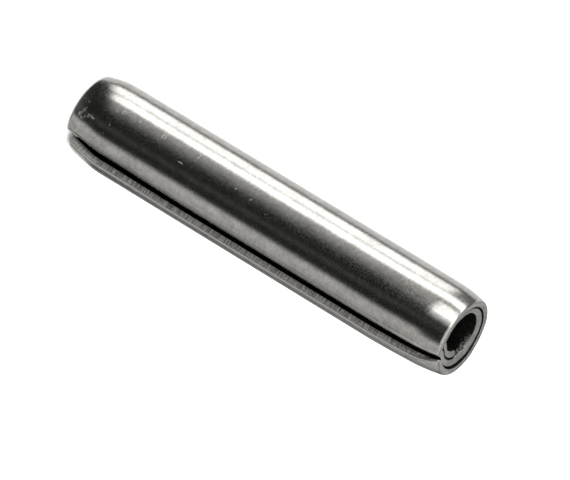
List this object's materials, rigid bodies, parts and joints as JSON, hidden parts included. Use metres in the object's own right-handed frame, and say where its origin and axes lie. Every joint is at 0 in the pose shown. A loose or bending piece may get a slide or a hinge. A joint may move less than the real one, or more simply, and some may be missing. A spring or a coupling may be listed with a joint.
{
  "type": "coiled spring roll pin",
  "caption": "Strip of spring steel rolled into a tight coil, with a straight barrel and smooth swaged ends, pressed into a drilled hole to pin parts together.",
  "frame": {"origin": "on the axis of the outermost wrap, at the lower end face", "axes": "+Z along the pin to the end with the long swaged lead; +X lies 25 degrees counter-clockwise, seen from above, of the strip's outer edge"},
  "size_m": [0.005, 0.005, 0.0254],
  "materials": {
    "spring_steel": "plain tumbled spring steel, lightly oiled"
  },
  "bodies": {
    "root": {"coiled_pin": "spring_steel"}
  },
  "joints": []
}
